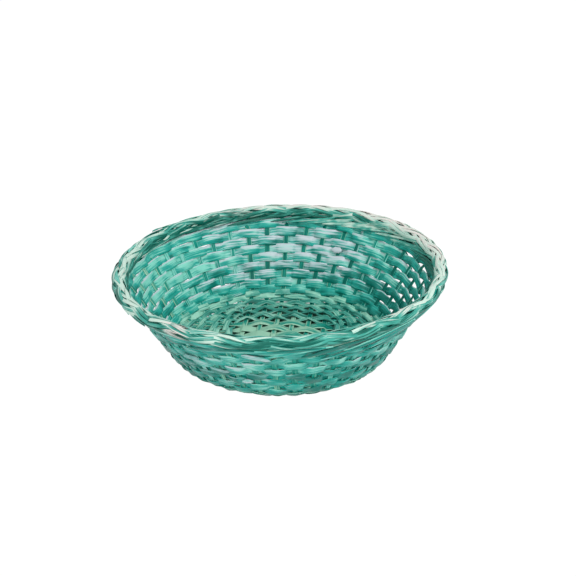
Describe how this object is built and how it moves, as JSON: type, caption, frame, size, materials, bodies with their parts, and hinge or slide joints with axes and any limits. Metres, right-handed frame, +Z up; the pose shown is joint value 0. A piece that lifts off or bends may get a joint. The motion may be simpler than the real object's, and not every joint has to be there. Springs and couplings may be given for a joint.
{
  "type": "basket",
  "caption": "Shallow round bowl basket woven from dyed split bamboo, with a square mat floor, stakes running up a flared wall and a plaited rim.",
  "frame": {"origin": "centre of the basket on the surface it stands on", "axes": "+Z up along the basket's axis, +Y to the back along the narrow base splints, +X to the right along the wide base slats"},
  "size_m": [0.25, 0.25, 0.0707],
  "materials": {
    "stake": "dyed split bamboo, deep teal, satin",
    "slat": "dyed split bamboo, pale green, matt inner side",
    "floor_weaver": "dyed split bamboo, grey green, satin",
    "wall_weaver": "dyed split bamboo, aqua with paler streaks, satin",
    "rim_splint": "dyed split bamboo, pale mint, satin"
  },
  "bodies": {
    "root": {"base_splint_1": "stake", "base_splint_2": "stake", "base_splint_3": "stake", "base_splint_4": "stake", "base_splint_5": "stake", "base_splint_6": "stake", "base_slat_1": "slat", "base_slat_2": "slat", "base_slat_3": "slat", "base_slat_4": "slat", "base_slat_5": "slat", "base_slat_6": "slat", "corner_stake_1": "stake", "corner_stake_2": "stake", "corner_stake_3": "stake", "corner_stake_4": "stake", "corner_stake_5": "stake", "corner_stake_6": "stake", "corner_stake_7": "stake", "corner_stake_8": "stake", "corner_stake_9": "stake", "corner_stake_10": "stake", "corner_stake_11": "stake", "corner_stake_12": "stake", "corner_stake_13": "stake", "corner_stake_14": "stake", "corner_stake_15": "stake", "corner_stake_16": "stake", "corner_stake_17": "stake", "corner_stake_18": "stake", "corner_stake_19": "stake", "corner_stake_20": "stake", "floor_weaver_1": "floor_weaver", "floor_weaver_2": "floor_weaver", "floor_weaver_3": "floor_weaver", "floor_weaver_4": "floor_weaver", "floor_weaver_5": "floor_weaver", "floor_weaver_6": "floor_weaver", "floor_weaver_7": "floor_weaver", "floor_weaver_8": "floor_weaver", "floor_weaver_9": "floor_weaver", "wall_weaver_1": "wall_weaver", "wall_weaver_2": "wall_weaver", "wall_weaver_3": "wall_weaver", "wall_weaver_4": "wall_weaver", "wall_weaver_5": "wall_weaver", "wall_weaver_6": "wall_weaver", "wall_weaver_7": "wall_weaver", "wall_weaver_8": "wall_weaver", "rim_inner_band": "rim_splint", "rim_core": "stake", "rim_strand_1": "rim_splint", "rim_strand_2": "rim_splint", "rim_strand_3": "rim_splint", "rim_strand_4": "rim_splint"}
  },
  "joints": []
}
